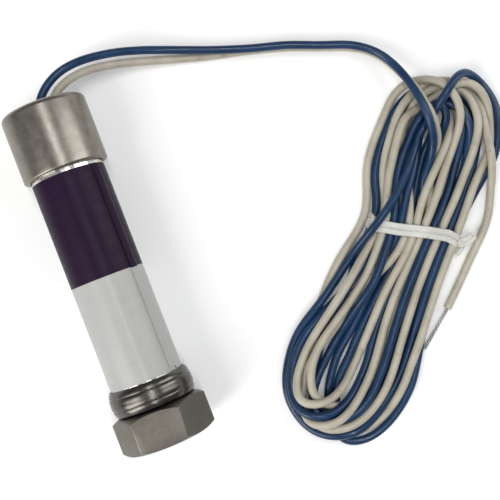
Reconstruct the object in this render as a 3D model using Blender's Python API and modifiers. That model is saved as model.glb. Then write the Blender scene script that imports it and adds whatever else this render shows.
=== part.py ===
"""Flame sensor probe with its two leads wound in a hank.

The probe lies along X on the plane Z = 0, with its hex coupling towards +X, and the leads leave its rear
end and run to the hank on the +Y side. The origin is under the middle of the probe.
"""
import math

import bmesh
import bpy
from mathutils import Matrix, Vector
from mathutils.geometry import interpolate_bezier

MM = 0.001
GAP = 0.3 * MM                    # clearance between neighbouring pieces
ROUND = 48                        # sides of the outer turned pieces
FINE_ROUND = 32                   # sides of the small turned pieces

# Probe along its axis, from the rear of the cap to the front of the coupling.
LENGTH = 119.0 * MM
REAR = -LENGTH / 2
FRONT = LENGTH / 2
CAP_LENGTH = 23.2 * MM
BARE_RING = 1.3 * MM              # tube left bare between the cap and the label
COUPLING_LENGTH = 12.6 * MM
COLLAR_LENGTH = 8.9 * MM
COLLAR_SOCKET_DEPTH = 2.8 * MM    # of the body tube in the collar
CAP_FRONT = REAR + CAP_LENGTH
COUPLING_REAR = FRONT - COUPLING_LENGTH
COLLAR_FRONT = COUPLING_REAR - GAP
COLLAR_REAR = COLLAR_FRONT - COLLAR_LENGTH

# Diameters of the outer pieces.
CAP_RADIUS = 14.5 * MM
AXIS_HEIGHT = CAP_RADIUS
TUBE_RADIUS = 12.3 * MM
TUBE_WALL = 1.0 * MM
LABEL_GAP = 0.1 * MM
LABEL_THICKNESS = 0.3 * MM
HEX_ACROSS_FLATS = 28.575 * MM
HEX_CORNER_RADIUS = HEX_ACROSS_FLATS / math.sqrt(3)

# Conduit socket and web in the cap.
SOCKET_RADIUS = 10.0 * MM
SOCKET_DEPTH = 12.0 * MM
WEB = 2.0 * MM
WEB_REAR = REAR + SOCKET_DEPTH
WEB_FRONT = WEB_REAR + WEB
WEB_HOLE_RADIUS = 5.8 * MM
CAP_EDGE_RADIUS = 1.8 * MM

# Collar, its spigot and the threaded bore of the coupling.
SPIGOT_RADIUS = 7.6 * MM
SPIGOT_LENGTH = 6.4 * MM
SPIGOT_FRONT = COLLAR_FRONT + SPIGOT_LENGTH
SIGHT_RADIUS = 4.8 * MM
COUPLING_WEB = 3.3 * MM
COUPLING_WEB_FRONT = COUPLING_REAR + COUPLING_WEB
THREAD_RADIUS = 9.4 * MM          # minor radius of the half inch pipe thread
RING_THICKNESS = 0.8 * MM
RING_GROOVE_DEPTH = 0.8 * MM
RING_INNER_RADIUS = SPIGOT_RADIUS - 0.5 * MM
RING_OUTER_RADIUS = THREAD_RADIUS - 0.5 * MM

# Window in the collar, from its seal to its clamping ring.
WINDOW_POCKET_RADIUS = 6.7 * MM
POCKET_FRONT = COLLAR_FRONT + 0.4 * MM
SEAL_THICKNESS = 0.6 * MM
WINDOW_THICKNESS = 1.5 * MM
RETAINER_THICKNESS = 2.4 * MM

# Sensing tube and what holds it.
PLUG_LENGTH = 7.5 * MM
SPLICE_LENGTH = 6.5 * MM
SPLICE_WALL = 0.5 * MM
PIN_RADIUS = 0.5 * MM
PIN_IN_SPLICE = 2.5 * MM
PIN_IN_GLASS = 26.0 * MM
ELECTRODE_SIZE = (5.0 * MM, 0.5 * MM, 10.0 * MM)
BASE_RADIUS = 9.3 * MM
BASE_LENGTH = 7.0 * MM
BASE_CLEARANCE = 2.0 * MM         # between the crimp sleeves and the base
GLASS_RADIUS = 7.5 * MM
GLASS_WALL = 0.8 * MM
GLASS_LENGTH = 40.0 * MM
SLEEVE_WALL = 1.0 * MM
SLEEVE_OVERHANG = 6.0 * MM        # of the insulating sleeve beyond the glass
CUSHION_LENGTH = 4.0 * MM
CUSHION_PLACES = (("cushion_rear", 6.0 * MM), ("cushion_front", 27.0 * MM))

# Leads.
WIRE_RADIUS = 1.45 * MM
CONDUCTOR_RADIUS = 0.55 * MM
LEAD_OFFSET = 2.6 * MM            # of each lead from the probe's axis, inside the cap
LEAD_HOLE_RADIUS = WIRE_RADIUS + GAP
POINT_SPACING = 5.2 * MM

# Routes of the loose stretches, point by point from the cap.
BLUE_ROUTE = [
    (-32.0, -2.6, 14.5), (-40.0, -2.6, 14.5), (-48.0, -2.6, 14.5), (-55.0, -2.4, 14.5),
    (-60.0, -1.0, 14.9), (-64.6, 2.8, 15.1), (-68.2, 9.0, 15.0), (-69.6, 16.0, 13.9),
    (-69.7, 23.0, 11.6), (-68.8, 31.0, 8.8), (-66.7, 39.5, 6.2), (-63.2, 49.5, 4.7),
    (-58.6, 61.5, 4.6), (-54.6, 73.5, 4.6), (-51.4, 85.0, 4.6), (-47.2, 95.7, 4.6),
    (-43.3, 105.1, 5.4), (-36.0, 112.8, 6.4), (-29.0, 116.6, 6.9),
]
WHITE_ROUTE = [
    (-32.0, 2.6, 14.5), (-40.0, 2.6, 14.5), (-48.0, 2.6, 14.5), (-55.0, 2.6, 14.4),
    (-59.6, 3.4, 13.7), (-63.2, 6.1, 12.6), (-65.9, 12.0, 11.5), (-66.9, 19.0, 9.2),
    (-66.3, 27.0, 6.2), (-64.6, 35.5, 3.6), (-61.7, 46.0, 1.8), (-58.4, 57.6, 1.5),
    (-55.4, 70.2, 1.5), (-51.4, 84.6, 1.5), (-46.4, 96.4, 1.5), (-42.5, 105.1, 2.1),
    (-36.6, 112.4, 2.9), (-29.8, 117.5, 3.4),
]
TAIL_ROUTE = [
    (17.9, 134.2, 2.3), (21.6, 132.9, 1.7), (26.0, 130.9, 1.5), (30.4, 128.2, 1.5),
    (33.9, 124.9, 1.5), (37.4, 121.2, 1.5), (41.0, 117.6, 1.5), (44.8, 113.9, 1.5),
    (49.4, 109.6, 1.5), (53.5, 104.3, 1.5),
]
TIP_ROUTE = [(53.9, 103.8, 1.5), (57.2, 99.6, 1.3), (60.8, 95.9, 1.0), (64.5, 92.6, 0.7)]

# Outline of the hank, once round it, and the flat tie at its waist.
HANK_OUTLINE = [
    (-16.0, 111.8), (-22.6, 124.5), (-21.6, 139.0), (-10.9, 145.0), (3.3, 142.8),
    (16.4, 132.2), (28.4, 119.4), (40.1, 107.6), (53.0, 96.8), (70.2, 83.7),
    (84.6, 69.5), (82.6, 54.6), (71.1, 41.0), (59.9, 39.9), (42.8, 51.9),
    (29.9, 69.7), (16.9, 83.0), (1.2, 94.1),
]
HANK_HEIGHT = 8.6 * MM
TIE_CENTRE = (25.4, 102.3)
TIE_ANGLE = math.radians(58)
TIE_WIDTH = 4.5 * MM
TIE_THICKNESS = 0.5 * MM
TIE_HALF_SPAN = 16.6 * MM

# Colour, roughness and metallic value of each finish.
FINISHES = {
    "satin_steel": ((0.23, 0.22, 0.19), 0.35, 1.0),
    "bright_steel": ((0.45, 0.44, 0.41), 0.16, 1.0),
    "grey_steel": ((0.14, 0.14, 0.12), 0.50, 1.0),
    "label_film": ((0.025, 0.012, 0.035), 0.35, 0.0),
    "blue_insulation": ((0.013, 0.045, 0.17), 0.25, 0.0),
    "white_insulation": ((0.46, 0.44, 0.37), 0.40, 0.0),
    "tie_paper": ((0.60, 0.60, 0.57), 0.60, 0.0),
    "tinned_copper": ((0.35, 0.34, 0.32), 0.35, 1.0),
    "black_rubber": ((0.02, 0.02, 0.02), 0.70, 0.0),
    "potting_resin": ((0.06, 0.05, 0.04), 0.45, 0.0),
    "insulating_board": ((0.55, 0.43, 0.24), 0.60, 0.0),
    "moulded_base": ((0.09, 0.06, 0.04), 0.45, 0.0),
    "clear_glass": ((0.85, 0.90, 0.90), 0.05, 0.0),
    "quartz": ((0.90, 0.92, 0.93), 0.03, 0.0),
    "nickel": ((0.55, 0.52, 0.47), 0.30, 1.0),
    "spring_steel": ((0.10, 0.10, 0.10), 0.40, 1.0),
}


def clear_scene():
    for old in list(bpy.data.objects):
        bpy.data.objects.remove(old, do_unlink=True)


def make_collection(name):
    collection = bpy.data.collections.new(name)
    bpy.context.scene.collection.children.link(collection)
    return collection


def make_finish(name):
    colour, roughness, metallic = FINISHES[name]
    finish = bpy.data.materials.new(name)
    finish.use_nodes = True
    shader = finish.node_tree.nodes["Principled BSDF"]
    shader.inputs["Base Color"].default_value = (*colour, 1.0)
    shader.inputs["Roughness"].default_value = roughness
    shader.inputs["Metallic"].default_value = metallic
    return finish


def add_part(name, data, finish, parent=None):
    part = bpy.data.objects.new(name, data)
    parts.objects.link(part)
    part.parent = parent
    data.materials.append(finishes[finish])
    return part


def add_axis(name, x):
    """Empty on the probe's axis at x, with its own Z pointing along world +X."""
    axis = bpy.data.objects.new(name, None)
    parts.objects.link(axis)
    axis.location = (x, 0, AXIS_HEIGHT)
    axis.rotation_euler = (0, math.pi / 2, 0)
    return axis


def turned(name, profile, finish, parent, steps=ROUND, closed=True):
    """Part turned about its own Z from (z, radius) points, which run front to rear down the outer side."""
    mesh = bpy.data.meshes.new(name)
    points = [(radius, 0, z) for z, radius in profile]
    edges = [(i, i + 1) for i in range(len(points) - 1)]
    if closed:
        edges.append((len(points) - 1, 0))
    mesh.from_pydata(points, edges, [])
    part = add_part(name, mesh, finish, parent)
    screw = part.modifiers.new("turn", "SCREW")
    screw.axis = "Z"
    screw.angle = 2 * math.pi
    screw.steps = steps
    screw.render_steps = steps
    screw.use_merge_vertices = True
    screw.merge_threshold = 0.00001
    screw.use_smooth_shade = True
    return part


def ring(rear, front, inner, outer):
    """Profile of a plain ring."""
    return [(front, outer), (rear, outer), (rear, inner), (front, inner)]


def disc(rear, front, radius):
    """Profile of a solid disc, from pole to pole."""
    return [(front, 0), (front, radius), (rear, radius), (rear, 0)]


def arc(centre_z, centre_radius, size, start, stop, count):
    """Profile points on a quarter round or other arc, angles in degrees from the outward direction."""
    points = []
    for i in range(count):
        angle = math.radians(start + (stop - start) * i / (count - 1))
        points.append((centre_z - size * math.sin(angle), centre_radius + size * math.cos(angle)))
    return points


def hide_cutter(cutter):
    cutter.hide_render = True
    cutter.display_type = "WIRE"


def cut(part, cutter, operation="DIFFERENCE"):
    boolean = part.modifiers.new("cut", "BOOLEAN")
    boolean.operation = operation
    boolean.solver = "EXACT"
    boolean.object = cutter


def rod_cutter(name, parent, offset, radius, rear, front, sides=16):
    """Round cutter along the probe's axis, offset sideways."""
    mesh = bpy.data.meshes.new(name)
    shape = bmesh.new()
    bmesh.ops.create_cone(shape, cap_ends=True, segments=sides, radius1=radius, radius2=radius,
                          depth=front - rear)
    shape.to_mesh(mesh)
    shape.free()
    cutter = bpy.data.objects.new(name, mesh)
    cutters.objects.link(cutter)
    cutter.parent = parent
    cutter.location = (0, offset, (rear + front) / 2)
    hide_cutter(cutter)
    return cutter


def pierce_pair(part, parent, radius, rear, front):
    """Two holes side by side, for the two leads or pins."""
    for side in (-1, 1):
        name = f"{part.name}_hole_{'left' if side < 0 else 'right'}"
        cut(part, rod_cutter(name, parent, side * LEAD_OFFSET, radius, rear, front))


def block(name, size, collection):
    mesh = bpy.data.meshes.new(name)
    shape = bmesh.new()
    bmesh.ops.create_cube(shape, size=1.0)
    bmesh.ops.scale(shape, vec=Vector(size), verts=shape.verts)
    shape.to_mesh(mesh)
    shape.free()
    box = bpy.data.objects.new(name, mesh)
    collection.objects.link(box)
    return box


def smooth_line(route, spacing, cyclic=False):
    """Evenly spaced points on the smooth curve through a route given in millimetres."""
    knots = [Vector((*point, 0)[:3]) * MM for point in route]
    count = len(knots)
    dense = []
    for i in range(count if cyclic else count - 1):
        start, end = knots[i], knots[(i + 1) % count]
        before = knots[i - 1] if cyclic or i > 0 else start
        after = knots[(i + 2) % count] if cyclic or i + 2 < count else end
        lead_out = start + (end - before) / 6
        lead_in = end - (after - start) / 6
        dense += interpolate_bezier(start, lead_out, lead_in, end, 24)[:-1]
    dense.append(knots[0] if cyclic else knots[-1])
    steps = [0.0]
    for a, b in zip(dense, dense[1:]):
        steps.append(steps[-1] + (b - a).length)
    pieces = max(2, round(steps[-1] / spacing))
    line = []
    index = 0
    for k in range(pieces if cyclic else pieces + 1):
        target = steps[-1] * k / pieces
        while index < len(steps) - 2 and steps[index + 1] < target:
            index += 1
        share = (target - steps[index]) / (steps[index + 1] - steps[index])
        line.append(dense[index].lerp(dense[index + 1], share))
    return line


def tube_along(name, route, radius, finish, spacing=POINT_SPACING):
    """Closed round tube along a route."""
    line = smooth_line(route, spacing)
    curve = bpy.data.curves.new(name, "CURVE")
    curve.dimensions = "3D"
    curve.bevel_depth = radius
    curve.bevel_resolution = 2
    curve.use_fill_caps = True
    spline = curve.splines.new("POLY")
    spline.points.add(len(line) - 1)
    for point, place in zip(spline.points, line):
        point.co = (*place, 1.0)
    return add_part(name, curve, finish)


def slab(name, outlines, thickness, collection):
    """Mesh object of flat closed outlines extruded both ways from its own XY plane."""
    curve = bpy.data.curves.new(name, "CURVE")
    curve.dimensions = "2D"
    curve.fill_mode = "BOTH"
    curve.extrude = thickness / 2
    for outline in outlines:
        spline = curve.splines.new("POLY")
        spline.use_cyclic_u = True
        spline.points.add(len(outline) - 1)
        for point, place in zip(spline.points, outline):
            point.co = (place[0], place[1], 0, 1.0)
    source = bpy.data.objects.new(name + "_outline", curve)
    collection.objects.link(source)
    bpy.context.view_layer.update()
    graph = bpy.context.evaluated_depsgraph_get()
    mesh = bpy.data.meshes.new_from_object(source.evaluated_get(graph))
    mesh.name = name
    bpy.data.objects.remove(source, do_unlink=True)
    shape = bmesh.new()
    shape.from_mesh(mesh)
    bmesh.ops.remove_doubles(shape, verts=shape.verts, dist=0.00001)
    bmesh.ops.recalc_face_normals(shape, faces=shape.faces)
    shape.to_mesh(mesh)
    shape.free()
    mesh.materials.clear()
    return mesh


def make_cap(axis):
    """Turned cap: conduit socket behind the web, socket for the body tube in front of it."""
    edge = arc(REAR + CAP_EDGE_RADIUS, CAP_RADIUS - CAP_EDGE_RADIUS, CAP_EDGE_RADIUS, 0, 90, 5)
    front_bevel = 0.8 * MM
    mouth_bevel = 0.6 * MM
    tube_socket = TUBE_RADIUS + GAP
    profile = [(CAP_FRONT, CAP_RADIUS - front_bevel), (CAP_FRONT - front_bevel, CAP_RADIUS)]
    profile += edge
    profile += [
        (REAR, SOCKET_RADIUS + mouth_bevel), (REAR + mouth_bevel, SOCKET_RADIUS),
        (WEB_REAR, SOCKET_RADIUS), (WEB_REAR, WEB_HOLE_RADIUS),
        (WEB_FRONT, WEB_HOLE_RADIUS), (WEB_FRONT, tube_socket), (CAP_FRONT, tube_socket),
    ]
    turned("conduit_cap", profile, "satin_steel", axis)


def make_body(axis):
    """Steel tube and the label wrapped round it."""
    tube_rear = WEB_FRONT + GAP
    tube_front = COLLAR_REAR + COLLAR_SOCKET_DEPTH - GAP
    bore = TUBE_RADIUS - TUBE_WALL
    turned("body_tube", ring(tube_rear, tube_front, bore, TUBE_RADIUS), "satin_steel", axis)
    inside = TUBE_RADIUS + LABEL_GAP
    label = ring(CAP_FRONT + BARE_RING, COLLAR_REAR - GAP, inside, inside + LABEL_THICKNESS)
    turned("wrap_label", label, "label_film", axis)


def make_collar(axis):
    """Bulged collar with the window pocket, and the spigot that the coupling turns on."""
    groove_rear = COUPLING_WEB_FRONT + GAP
    groove_front = groove_rear + RING_THICKNESS + 2 * GAP
    groove_radius = SPIGOT_RADIUS - RING_GROOVE_DEPTH
    spigot_bevel = 0.4 * MM
    rim_radius = 13.3 * MM
    front_radius = 13.4 * MM
    rise = 1.05 * MM
    count = 9
    profile = [
        (SPIGOT_FRONT, SPIGOT_RADIUS - spigot_bevel), (SPIGOT_FRONT - spigot_bevel, SPIGOT_RADIUS),
        (groove_front, SPIGOT_RADIUS), (groove_front, groove_radius),
        (groove_rear, groove_radius), (groove_rear, SPIGOT_RADIUS),
        (COLLAR_FRONT, SPIGOT_RADIUS),
    ]
    for i in range(count):
        t = i / (count - 1)
        swell = 4 * rise * t * (1 - t)
        radius = front_radius + (rim_radius - front_radius) * t + swell
        profile.append((COLLAR_FRONT - COLLAR_LENGTH * t, radius))
    tube_socket = TUBE_RADIUS + GAP
    tube_stop = COLLAR_REAR + COLLAR_SOCKET_DEPTH
    profile += [
        (COLLAR_REAR, tube_socket), (tube_stop, tube_socket), (tube_stop, WINDOW_POCKET_RADIUS),
        (POCKET_FRONT, WINDOW_POCKET_RADIUS), (POCKET_FRONT, SIGHT_RADIUS), (SPIGOT_FRONT, SIGHT_RADIUS),
    ]
    turned("front_collar", profile, "bright_steel", axis)
    make_window(axis)
    make_snap_ring(axis, groove_rear + GAP)


def make_window(axis):
    """Seal, quartz disc and clamping ring, stacked from the front of the pocket to the rear."""
    outer = WINDOW_POCKET_RADIUS - GAP
    inner = SIGHT_RADIUS + 0.2 * MM
    front = POCKET_FRONT - GAP
    rear = front - SEAL_THICKNESS
    turned("window_gasket", ring(rear, front, inner, outer), "black_rubber", axis, FINE_ROUND)
    front = rear - GAP
    rear = front - WINDOW_THICKNESS
    turned("quartz_window", disc(rear, front, outer), "quartz", axis, FINE_ROUND, closed=False)
    front = rear - GAP
    rear = front - RETAINER_THICKNESS
    turned("window_retainer", ring(rear, front, inner, outer), "nickel", axis, FINE_ROUND)


def make_snap_ring(axis, rear):
    """Split wire ring in the spigot's groove, in front of the coupling's web."""
    inner, outer = RING_INNER_RADIUS, RING_OUTER_RADIUS
    front = rear + RING_THICKNESS
    snap = turned("snap_ring", ring(rear, front, inner, outer), "spring_steel", axis, FINE_ROUND)
    split_width = 2 * MM
    beyond = 4 * MM
    split = block("snap_ring_split", (beyond, split_width, beyond), cutters)
    split.parent = axis
    split.location = (-(inner + outer) / 2, 0, (rear + front) / 2)
    hide_cutter(split)
    cut(snap, split)


def make_coupling(axis):
    """Hex coupling nut, chamfered at both ends, on its own turning axis."""
    def z(x):
        return x - COUPLING_REAR

    shoulder_radius = 13.7 * MM
    face_radius = 14.5 * MM
    rear_chamfer = 1.7 * MM
    front_chamfer = 1.1 * MM
    mouth_bevel = 0.8 * MM
    widest = HEX_CORNER_RADIUS + 0.4 * MM
    hole = SPIGOT_RADIUS + GAP
    profile = [
        (z(FRONT), face_radius), (z(FRONT - front_chamfer), widest),
        (z(COUPLING_REAR + rear_chamfer), widest), (z(COUPLING_REAR), shoulder_radius),
        (z(COUPLING_REAR), hole), (z(COUPLING_WEB_FRONT), hole),
        (z(COUPLING_WEB_FRONT), THREAD_RADIUS), (z(FRONT - mouth_bevel), THREAD_RADIUS),
        (z(FRONT), THREAD_RADIUS + mouth_bevel),
    ]
    nut = turned("hex_coupling", profile, "grey_steel", axis)
    mesh = bpy.data.meshes.new("hex_bar")
    shape = bmesh.new()
    bmesh.ops.create_cone(shape, cap_ends=True, segments=6, radius1=HEX_CORNER_RADIUS,
                          radius2=HEX_CORNER_RADIUS, depth=2 * COUPLING_LENGTH)
    shape.to_mesh(mesh)
    shape.free()
    bar = bpy.data.objects.new("hex_bar", mesh)
    cutters.objects.link(bar)
    bar.parent = axis
    bar.location = (0, 0, COUPLING_LENGTH / 2)
    hide_cutter(bar)
    cut(nut, bar, "INTERSECT")


def make_rear_seals(axis):
    """Grommet in the cap's web and the resin plug in the tube, both pierced by the leads."""
    flange = 1.6 * MM
    neck = WEB_HOLE_RADIUS - GAP
    rim = WEB_HOLE_RADIUS + 1.7 * MM
    rear = WEB_REAR - GAP - flange
    front = WEB_FRONT + GAP + flange
    profile = [
        (front, 0), (front, rim), (WEB_FRONT + GAP, rim), (WEB_FRONT + GAP, neck),
        (WEB_REAR - GAP, neck), (WEB_REAR - GAP, rim), (rear, rim), (rear, 0),
    ]
    grommet = turned("lead_grommet", profile, "black_rubber", axis, FINE_ROUND, closed=False)
    pierce_pair(grommet, axis, LEAD_HOLE_RADIUS, rear - MM, front + MM)
    plug_rear = front + GAP
    plug_front = plug_rear + PLUG_LENGTH
    plug_radius = TUBE_RADIUS - TUBE_WALL - GAP
    plug = turned("potting_plug", disc(plug_rear, plug_front, plug_radius), "potting_resin", axis,
                  FINE_ROUND, closed=False)
    pierce_pair(plug, axis, LEAD_HOLE_RADIUS, plug_rear - MM, plug_front + MM)
    return plug_front + GAP


def make_sensing_tube(axis, rear):
    """Crimp sleeves, base, pins, electrodes and glass envelope, with the sleeve and cushions round them."""
    base_rear = rear + SPLICE_LENGTH + BASE_CLEARANCE
    base_front = base_rear + BASE_LENGTH
    glass_rear = base_front + GAP
    pin_rear = rear + SPLICE_LENGTH - PIN_IN_SPLICE
    pin_front = glass_rear + PIN_IN_GLASS
    plate_offset = LEAD_OFFSET - PIN_RADIUS - GAP - ELECTRODE_SIZE[1] / 2

    for side, colour, place in ((-1, "blue", "left"), (1, "white", "right")):
        sleeve = ring(0, SPLICE_LENGTH, LEAD_HOLE_RADIUS, LEAD_HOLE_RADIUS + SPLICE_WALL)
        splice = turned(f"splice_{colour}", sleeve, "nickel", axis, 16)
        splice.location = (0, side * LEAD_OFFSET, rear)
        pin = turned(f"pin_{place}", disc(0, pin_front - pin_rear, PIN_RADIUS), "nickel", axis, 12,
                     closed=False)
        pin.location = (0, side * LEAD_OFFSET, pin_rear)
        plate = block(f"electrode_{place}", ELECTRODE_SIZE, parts)
        plate.data.materials.append(finishes["nickel"])
        plate.parent = axis
        plate.location = (0, side * plate_offset, pin_front - ELECTRODE_SIZE[2] / 2)

    base = turned("tube_base", disc(base_rear, base_front, BASE_RADIUS), "moulded_base", axis,
                  FINE_ROUND, closed=False)
    pierce_pair(base, axis, PIN_RADIUS + GAP, base_rear - MM, base_front + MM)
    make_envelope(axis, glass_rear)

    outer = TUBE_RADIUS - TUBE_WALL - GAP
    inner = outer - SLEEVE_WALL
    sleeve = ring(base_rear, glass_rear + GLASS_LENGTH + SLEEVE_OVERHANG, inner, outer)
    turned("insulating_sleeve", sleeve, "insulating_board", axis, FINE_ROUND)
    for name, place in CUSHION_PLACES:
        cushion = ring(glass_rear + place, glass_rear + place + CUSHION_LENGTH,
                       GLASS_RADIUS + GAP, inner - GAP)
        turned(name, cushion, "black_rubber", axis, FINE_ROUND)


def make_envelope(axis, rear):
    """Glass tube with a domed front end, open at its base."""
    dome_centre = rear + GLASS_LENGTH - GLASS_RADIUS
    angles = [math.radians(90 * i / 5) for i in range(6)]
    inner = GLASS_RADIUS - GLASS_WALL
    outside = [(dome_centre + GLASS_RADIUS * math.cos(a), GLASS_RADIUS * math.sin(a)) for a in angles]
    inside = [(dome_centre + inner * math.cos(a), inner * math.sin(a)) for a in reversed(angles)]
    profile = outside + [(rear, GLASS_RADIUS), (rear, inner)] + inside
    turned("glass_envelope", profile, "clear_glass", axis, FINE_ROUND, closed=False)


def make_leads():
    """Loose stretches of the two leads, the free end of the white one and its stripped tip."""
    tube_along("lead_blue", BLUE_ROUTE, WIRE_RADIUS, "blue_insulation")
    tube_along("lead_white", WHITE_ROUTE, WIRE_RADIUS, "white_insulation")
    tube_along("lead_white_end", TAIL_ROUTE, WIRE_RADIUS, "white_insulation")
    tube_along("stripped_tip", TIP_ROUTE, CONDUCTOR_RADIUS, "tinned_copper", 3 * MM)


def make_hank():
    """Wound length of both leads as one plain solid, with a slot for the tie, which leaves out the
    strands along its outer edge, and the tie itself.
    """
    outline = smooth_line(HANK_OUTLINE, 6 * MM, cyclic=True)
    hank = add_part("wire_hank", slab("wire_hank", [outline], HANK_HEIGHT, parts), "white_insulation")
    hank.location = (0, 0, HANK_HEIGHT / 2)

    inside_span = TIE_HALF_SPAN - TIE_THICKNESS - GAP
    inside_height = HANK_HEIGHT / 2 - TIE_THICKNESS - GAP
    beyond = 2 * HANK_HEIGHT
    outside = rectangle(TIE_HALF_SPAN + GAP, beyond)
    outside[1:3] = [(TIE_HALF_SPAN + beyond, -beyond), (TIE_HALF_SPAN + beyond, beyond)]
    tie_place = Matrix.Translation((TIE_CENTRE[0] * MM, TIE_CENTRE[1] * MM, HANK_HEIGHT / 2))
    tie_place = tie_place @ Matrix.Rotation(TIE_ANGLE, 4, "Z")
    groove = slab("tie_groove", [outside, rectangle(inside_span, inside_height)],
                  TIE_WIDTH + 2 * GAP, cutters)
    groove_cutter = bpy.data.objects.new("tie_groove", groove)
    cutters.objects.link(groove_cutter)
    groove_cutter.matrix_world = tie_place @ Matrix.Rotation(math.pi / 2, 4, "X")
    hide_cutter(groove_cutter)
    cut(hank, groove_cutter)

    band = rectangle(TIE_HALF_SPAN, HANK_HEIGHT / 2)
    nib_tip = TIE_HALF_SPAN + 4.2 * MM
    band[2:2] = [(TIE_HALF_SPAN, -1.8 * MM), (nib_tip, -1.4 * MM), (nib_tip, 0.5 * MM),
                 (TIE_HALF_SPAN, 0.8 * MM)]
    hole = rectangle(TIE_HALF_SPAN - TIE_THICKNESS, HANK_HEIGHT / 2 - TIE_THICKNESS)
    tie = add_part("twist_tie", slab("twist_tie", [band, hole], TIE_WIDTH, parts), "tie_paper")
    tie.matrix_world = tie_place @ Matrix.Rotation(math.pi / 2, 4, "X")


def rectangle(half_width, half_height):
    return [(-half_width, -half_height), (half_width, -half_height),
            (half_width, half_height), (-half_width, half_height)]


clear_scene()
parts = make_collection("flame_sensor_probe")
cutters = make_collection("cutters")
finishes = {finish: make_finish(finish) for finish in FINISHES}
probe_axis = add_axis("probe_axis", 0)
coupling_axis = add_axis("coupling_axis", COUPLING_REAR)
make_cap(probe_axis)
make_body(probe_axis)
make_collar(probe_axis)
make_coupling(coupling_axis)
splice_rear = make_rear_seals(probe_axis)
make_sensing_tube(probe_axis, splice_rear)
make_leads()
make_hank()
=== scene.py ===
"""Flame sensor probe with its two leads wound in a tied hank, lying on a pale table top."""
import math

import bpy
import numpy as np
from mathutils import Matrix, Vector


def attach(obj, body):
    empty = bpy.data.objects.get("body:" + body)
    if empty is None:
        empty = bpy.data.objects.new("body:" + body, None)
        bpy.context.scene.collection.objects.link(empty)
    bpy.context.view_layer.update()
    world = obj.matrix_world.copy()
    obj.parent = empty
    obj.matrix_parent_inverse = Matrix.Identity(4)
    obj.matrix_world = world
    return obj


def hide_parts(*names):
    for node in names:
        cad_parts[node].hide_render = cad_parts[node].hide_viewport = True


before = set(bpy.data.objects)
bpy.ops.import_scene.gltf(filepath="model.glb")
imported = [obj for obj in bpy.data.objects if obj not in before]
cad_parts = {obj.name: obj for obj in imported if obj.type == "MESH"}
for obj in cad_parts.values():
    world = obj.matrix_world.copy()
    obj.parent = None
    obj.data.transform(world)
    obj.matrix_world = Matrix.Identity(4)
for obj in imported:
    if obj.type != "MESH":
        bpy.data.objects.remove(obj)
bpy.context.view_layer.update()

MM = 0.001
AXIS = 0.0145                      # height of the probe's axis above the table
REAR, FRONT = -0.0595, 0.0595      # ends of the probe
CAP_FRONT = -0.0363
LABEL_REAR, LABEL_FRONT = -0.0350, 0.0374
LABEL_CHANGE = 0.0012              # where the dark part of the label ends
COLLAR_REAR, COLLAR_FRONT = 0.0377, 0.0466
SPIGOT_FRONT = 0.0530
NUT_REAR = 0.0469
CAP_RADIUS = 0.0145
TUBE_RADIUS = 0.0123
SPIGOT_RADIUS = 0.0076
SIGHT_RADIUS = 0.0048
ACROSS_FLATS = 0.028575
THREAD_PITCH = 0.0254 / 14
WIRE_RADIUS = 0.00145
CONDUCTOR_RADIUS = 0.00055
THREAD_STEPS = 56                  # steps a turn of the threads
CREST_SHARE = 0.16                 # width of a thread's crest as a share of its pitch
RUN_OUT = 0.030                    # length over which a thread's end runs out
FILM = 0.00014                     # thickness of the label
FILM_GAP = 0.00012
FILM_LIFT = 0.00026                # how far the lap stands off the film under it
LAP_START = math.radians(62)       # side of the tube on which the label is lapped
LAP_TURN = math.radians(14)
LAP_STEP = 0.0003                  # offset of the two ends of the label along the tube
LAP_GAP = 0.05                     # part of the turn, in radians, left open before the lap
LAP_SLOPE = 0.04                   # part of the turn, in radians, over which the lap lifts
FILM_CUTS = 20                     # cuts along the label
WRAP_STEPS, LAP_STEPS = 94, 6      # steps round the tube, and in the lap
ROUND = 128                        # sides of the large turned pieces


# ---------------------------------------------------------------- camera and light
def make_camera():
    lens = bpy.data.cameras.new("camera")
    lens.sensor_width = 36.0
    lens.lens = 67.65
    lens.clip_start = 0.01
    camera = bpy.data.objects.new("camera", lens)
    bpy.context.scene.collection.objects.link(camera)
    camera.location = (0.01001, 0.04774, 0.3286)
    camera.rotation_euler = (0, 0, math.radians(68.9))
    bpy.context.scene.camera = camera


def soft_light(name, place, towards, size, power, tint=(1, 1, 1)):
    lamp = bpy.data.lights.new(name, "AREA")
    lamp.shape = "RECTANGLE"
    lamp.size, lamp.size_y = size
    lamp.energy = power
    lamp.color = tint
    light = bpy.data.objects.new(name, lamp)
    bpy.context.scene.collection.objects.link(light)
    light.location = place
    aim = Vector(towards) - Vector(place)
    light.rotation_euler = aim.to_track_quat("-Z", "Y").to_euler()


def make_lights():
    world = bpy.data.worlds.new("studio")
    bpy.context.scene.world = world
    world.use_nodes = True
    background = world.node_tree.nodes["Background"]
    background.inputs["Color"].default_value = (0.94, 0.97, 1.0, 1.0)
    background.inputs["Strength"].default_value = 0.26
    soft_light("strip_overhead", (0.0, 0.13, 0.95), (0, 0.0, 0), (1.0, 0.05), 3.6)
    soft_light("softbox_left", (0.30, -0.72, 0.62), (0, 0.03, 0), (0.45, 0.9), 8.5, (1.0, 0.98, 0.95))
    soft_light("softbox_right", (-0.10, 0.85, 0.55), (0, 0.05, 0), (0.35, 0.8), 4.0)
    bpy.context.scene.view_settings.view_transform = "Standard"


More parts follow.
